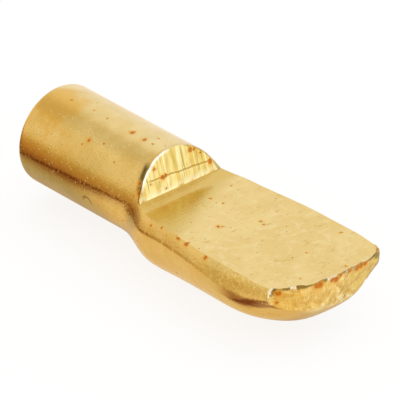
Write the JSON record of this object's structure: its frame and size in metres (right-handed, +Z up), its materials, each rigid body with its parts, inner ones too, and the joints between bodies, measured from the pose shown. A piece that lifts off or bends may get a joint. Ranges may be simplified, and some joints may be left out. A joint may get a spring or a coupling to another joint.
{
  "type": "shelf support pin",
  "caption": "Spoon-style shelf support pin: a round barrel that plugs into a 5 mm cabinet hole and a flat punched paddle that the shelf lies on.",
  "frame": {"origin": "on the barrel's axis, at the foot of the step between barrel and paddle", "axes": "+X out along the paddle to its tip, -X along the barrel to its free end, +Z up out of the flat seat"},
  "size_m": [0.0192, 0.0074, 0.0055],
  "materials": {
    "plating": "satin brass plating on steel, speckled with pits and rust"
  },
  "bodies": {
    "root": {"shelf_pin": "plating"}
  },
  "joints": []
}
